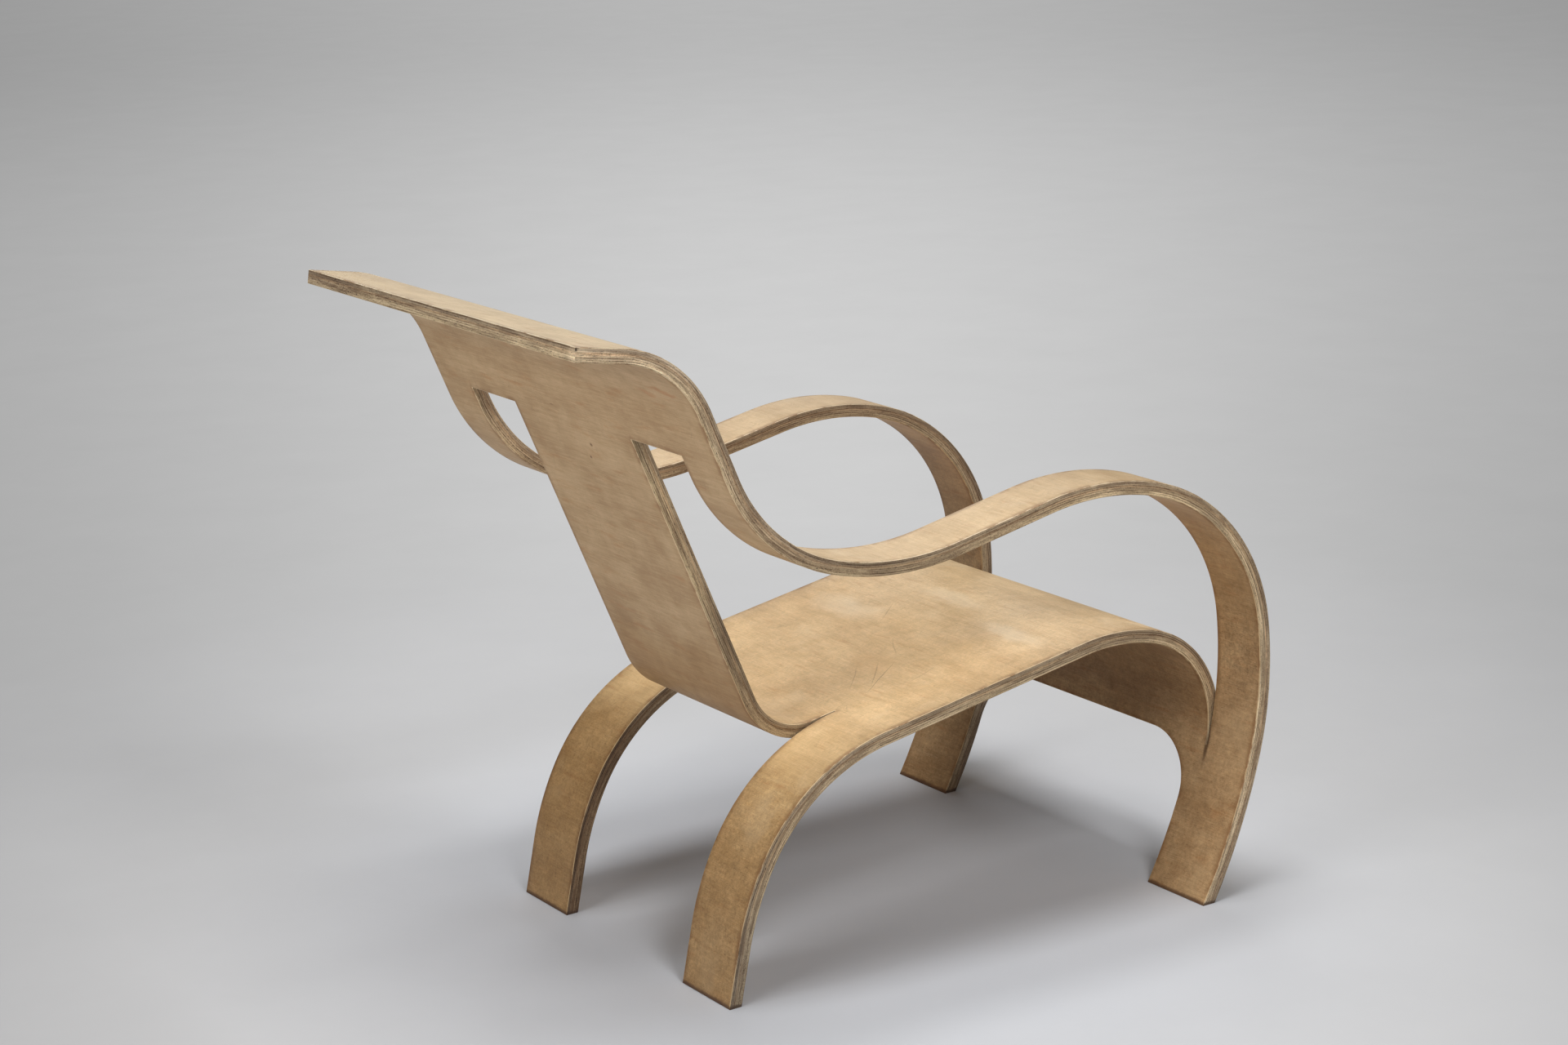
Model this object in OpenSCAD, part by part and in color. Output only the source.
// Armchair cut and bent from one sheet of moulded plywood.
// Every bend line runs from side to side, so the whole chair is drawn as paths in its side profile.
// X is across the chair, the front faces -Y, Z is up and the soles stand on Z = 0.
// Slopes are in degrees above the level line, going back; leans are in degrees from upright.

/* [Sheet] */
// Thickness of one veneer
ply_t = 1.2; // [1:0.05:1.4]
// Width of the saw cuts that part the strips
slit_w = 2; // [1:0.5:4]

/* [Widths] */
// Width of the whole chair
chair_w = 604; // [570:2:660]
// Width of each arm strip
arm_w = 74; // [64:1:86]
// Width of each front leg
front_leg_w = 100; // [92:1:116]
// Width of each rear leg
rear_leg_w = 97; // [84:1:110]
// Radius of the upper corners of the gap between the front legs
gap_corner_r = 70; // [40:1:90]

/* [Front legs and arms] */
// Forward lean of the front legs at the floor
foot_lean = 29.5; // [27:0.5:33]
// Forward lean of the front legs at the top of the slits
slit_lean = 16.5; // [14:0.5:19]
// Length of the front legs along the sheet, from the floor to the start of the slits
front_leg_run = 169; // [155:1:185]
// Backward lean of the arm strips where the arch starts
arch_lean = 5; // [3:0.5:8]
// Radius of the front of the arch
arch_front_r = 217; // [205:1:230]
// Slope of the arch where its radius changes
arch_slope = 14; // [9:0.5:19]
// Radius of the rear of the arch
arch_rear_r = 320; // [290:1:350]
// Downward slope of the straight stretch of the arms
arm_fall = 11.5; // [10:0.5:13]
// Radius of the first part of the bend from arm to back
arm_bend_r = 318; // [270:1:370]
// Slope of that bend where its radius changes
arm_bend_slope = 16; // [11:0.5:21]

/* [Back and headrest] */
// Slope of the back
back_slope = 68.5; // [67:0.5:70]
// Straight stretch of the arm strips below the tops of the openings
back_low_run = 21; // [10:1:36]
// Straight stretch of the back above the tops of the openings
back_high_run = 57; // [35:1:80]
// Radius of the bend into the headrest
headrest_r = 125; // [90:1:160]
// Slope of the headrest
headrest_slope = 9.5; // [4:0.5:16]
// Straight stretch of the headrest to its edge
headrest_run = 54; // [35:1:80]

/* [Seat] */
// Radius of the roll at the front of the seat
roll_r = 124; // [114:1:134]
// Slope of the seat where the roll's radius changes
roll_slope = 15; // [10:0.5:20]
// Radius of the gentler rear part of the roll
roll_rear_r = 233; // [205:1:260]
// Downward slope of the straight stretch of the seat
seat_fall = 10; // [9:0.5:11]
// Straight stretch of the seat, from the roll to the tips of the rear slits
seat_run = 276; // [255:1:300]
// Straight stretch of the seat from the tips of the rear slits to the bend of the splat
heel_run = 30; // [20:1:42]
// Radius of the bend from seat to splat
splat_bend_r = 65; // [50:1:80]
// Straight stretch of the splat, up to the tops of the openings
splat_run = 337; // [322:1:352]

/* [Rear legs] */
// Radius of the upper bend of the rear legs
rear_leg_top_r = 233; // [215:1:250]
// Downward slope of the rear legs where their radius changes
rear_leg_slope = 60; // [55:1:64]
// Radius of the lower bend of the rear legs
rear_leg_low_r = 327; // [290:1:360]
// Backward lean of the rear legs at the floor
rear_foot_lean = 13; // [10:0.5:16]

/* [Hidden] */
NODES = ["ply_01_sitting_face", "ply_02_long_grain", "ply_03_cross_grain", "ply_04_long_grain",
         "ply_05_cross_grain", "ply_06_long_grain", "ply_07_cross_grain", "ply_08_long_grain",
         "ply_09_cross_grain", "ply_10_long_grain", "ply_11_cross_grain", "ply_12_long_grain",
         "ply_13_under_face"];
$fn = 120;
// Largest turn between two corners of a bend, in degrees
facet_a = 3;

// Half widths, from the middle of the chair outwards
half_w = chair_w / 2;
arm_in = half_w - arm_w;
seat_half = arm_in - slit_w;
rear_leg_in = seat_half - rear_leg_w;
splat_half = rear_leg_in - slit_w;
foot_in = half_w - front_leg_w;

// What is drawn on below the floor and then cut off level with it, for flat soles
over_run = 2 * len(NODES) * ply_t;

// Headings of the paths, in degrees from the +Y direction towards +Z
foot_a = 90 + foot_lean;
slit_a = 90 + slit_lean;
arch_start_a = 90 - arch_lean;
arm_a = -arm_fall;
seat_a = -seat_fall;
rear_foot_a = rear_foot_lean - 90;
radian = 180 / PI;

// Move made by a bend of radius 1, as [along Y, along Z, length of the sheet]
function bend_move(from, to) =
    let (turn = from > to ? 1 : -1)
    [turn * (sin(from) - sin(to)), turn * (cos(to) - cos(from)), abs(to - from) / radian];

// Move made by a straight run of length 1, in the same form
function run_move(a) = [cos(a), sin(a), 1];

// Triple product of three moves
function triple(a, b, c) = cross(a, b) * c;

// The centre strip and the arm strips are the same length of one sheet, and meet above the openings.
// That settles three sizes of the arm strips: the leg's bend, the arm's straight and the back's bend.
seat_strip = roll_r * bend_move(slit_a, roll_slope) + roll_rear_r * bend_move(roll_slope, seat_a)
    + (seat_run + heel_run) * run_move(seat_a) + splat_bend_r * bend_move(seat_a, back_slope)
    + splat_run * run_move(back_slope);
arm_strip_given = arch_front_r * bend_move(arch_start_a, arch_slope)
    + arch_rear_r * bend_move(arch_slope, arm_a) + arm_bend_r * bend_move(arm_a, arm_bend_slope)
    + back_low_run * run_move(back_slope);
arm_strip_left = seat_strip - arm_strip_given;
leg_move = bend_move(slit_a, arch_start_a);
arm_move = run_move(arm_a);
back_move = bend_move(arm_bend_slope, back_slope);
move_volume = triple(leg_move, arm_move, back_move);
leg_bend_r = triple(arm_strip_left, arm_move, back_move) / move_volume;
arm_run = triple(leg_move, arm_strip_left, back_move) / move_volume;
back_bend_r = triple(leg_move, arm_move, arm_strip_left) / move_volume;

// A step of a path: a bend to a heading, or a straight run
function bend(to, r) = [to, r];
function run(length) = [undef, length];
function is_bend(step) = !is_undef(step[0]);

// A place on a path is [y, z, heading]; this is the place after the share w of one step
function place_on(at, step, w) =
    let (from = at[2], to = is_bend(step) ? from + w * (step[0] - from) : from,
         move = is_bend(step) ? step[1] * bend_move(from, to) : w * step[1] * run_move(from))
    [at[0] + move[0], at[1] + move[1], to];

// The places along one step: all the corners of a bend, or just the end of a straight run
function step_places(at, step) =
    let (n = is_bend(step) ? ceil(abs(step[0] - at[2]) / facet_a) : 1)
    [for (k = [1 : n]) place_on(at, step, k / n)];

// All the places of a path, and the last of them
function places(at, steps, i = 0) =
    i == len(steps) ? [at] : concat([at], places_after(step_places(at, steps[i]), steps, i));
function places_after(done, steps, i) =
    let (last = len(done) - 1)
    concat([for (k = [0 : 1 : last - 1]) done[k]], places(done[last], steps, i + 1));
function path_end(at, steps) = let (all = places(at, steps)) all[len(all) - 1];

// The point straight under a place, at a depth below the sitting face
function under(at, depth) = [at[0] + depth * sin(at[2]), at[1] - depth * cos(at[2])];

// The stretches of the sitting face. The front leg starts below the floor, on the same radius.
front_leg_r = front_leg_run * radian / (foot_lean - slit_lean);
below_a = foot_a + over_run * radian / front_leg_r;
front_leg = [bend(slit_a, front_leg_r)];
arm = [bend(arch_start_a, leg_bend_r), bend(arch_slope, arch_front_r), bend(arm_a, arch_rear_r),
       run(arm_run), bend(arm_bend_slope, arm_bend_r), bend(back_slope, back_bend_r),
       run(back_low_run)];
headrest = [run(back_high_run), bend(headrest_slope, headrest_r), run(headrest_run)];
roll = [bend(roll_slope, roll_r), bend(seat_a, roll_rear_r)];
seat = [run(seat_run)];
splat = [run(heel_run), bend(back_slope, splat_bend_r), run(splat_run)];
rear_leg_bends = [bend(-rear_leg_slope, rear_leg_top_r), bend(rear_foot_a, rear_leg_low_r)];

// Places where strips part and meet, with the sitting face of the front soles at Y = 0
below_move = front_leg_r * bend_move(below_a, foot_a);
below_at = [-below_move[0], -below_move[1], below_a];
slit_at = path_end(below_at, front_leg);
opening_at = path_end(slit_at, arm);
headrest_at = path_end(opening_at, headrest);
seat_at = path_end(slit_at, roll);
rear_slit_at = path_end(seat_at, seat);
rear_bends_at = path_end(rear_slit_at, rear_leg_bends);
rear_leg = concat(rear_leg_bends, [run(rear_bends_at[1] / cos(rear_foot_lean) + over_run)]);

// Middle of the chair from front to back: the upright part of the legs is foremost,
// and the lower edge of the headrest is rearmost
front_y = slit_at[0] + leg_bend_r * (sin(slit_a) - 1);
rear_y = headrest_at[0] + len(NODES) * ply_t * sin(headrest_slope);
middle_y = (front_y + rear_y) / 2;

// A strip of one layer along a path: from depth d0 to d1 below the sitting face, from x0 to x1
module strip(at, steps, d0, d1, x0, x1) {
    along = places(at, steps);
    last = len(along) - 1;
    rotate([90, 0, 90]) translate([0, 0, x0])
        linear_extrude(height = x1 - x0)
        polygon(concat([for (i = [0 : last]) under(along[i], d0)],
                       [for (i = [last : -1 : 0]) under(along[i], d1)]));
}

// The same strip on both sides of the chair
module strip_pair(at, steps, d0, d1, x0, x1) {
    strip(at, steps, d0, d1, x0, x1);
    strip(at, steps, d0, d1, -x1, -x0);
}

// What is cut away between the front legs: level with the slits at the top, with rounded corners
module leg_gap() {
    depth = front_leg_run + over_run;
    translate([0, slit_at[0], slit_at[1]]) rotate([slit_a, 0, 0])
        linear_extrude(height = 2 * depth, center = true)
        union() {
            translate([-foot_in, -2 * depth]) square([2 * foot_in, 2 * depth - gap_corner_r]);
            translate([gap_corner_r - foot_in, -2 * gap_corner_r])
                square([2 * (foot_in - gap_corner_r), 2 * gap_corner_r]);
            for (side = [-1, 1])
                translate([side * (foot_in - gap_corner_r), -gap_corner_r]) circle(gap_corner_r);
        }
}

// What lies below the floor
module ground() {
    size = 2 * (rear_y - front_y);
    translate([-half_w - over_run, -size, -size]) cube([chair_w + 2 * over_run, 2 * size, size]);
}

// The strips of one layer. Each one holds the stretches that it shares with its neighbours,
// because they are one sheet up to where the cuts part them and from where the openings end.
module front_legs(d0, d1) {
    strip(below_at, front_leg, d0, d1, -half_w, half_w);
}

module arms(d0, d1) {
    strip_pair(below_at, concat(front_leg, arm, headrest), d0, d1, arm_in, half_w);
}

module seat(d0, d1) {
    strip(below_at, concat(front_leg, roll, seat), d0, d1, -seat_half, seat_half);
}

module splat(d0, d1) {
    strip(seat_at, concat(seat, splat, headrest), d0, d1, -splat_half, splat_half);
}

module rear_legs(d0, d1) {
    strip_pair(seat_at, concat(seat, rear_leg), d0, d1, rear_leg_in, seat_half);
}

module headrest(d0, d1) {
    strip(opening_at, headrest, d0, d1, -half_w, half_w);
}

// One veneer, with the whole cut pattern of the chair
module ply(i) {
    d0 = i * ply_t;
    d1 = d0 + ply_t;
    face = i == 0 || i == len(NODES) - 1;
    color(face ? "burlywood" : i % 2 == 0 ? "peru" : "tan")
        translate([0, -middle_y, 0])
        difference() {
            union() {
                front_legs(d0, d1);
                arms(d0, d1);
                seat(d0, d1);
                splat(d0, d1);
                rear_legs(d0, d1);
                headrest(d0, d1);
            }
            leg_gap();
            ground();
        }
}

for (i = [0 : len(NODES) - 1])
    ply(i);
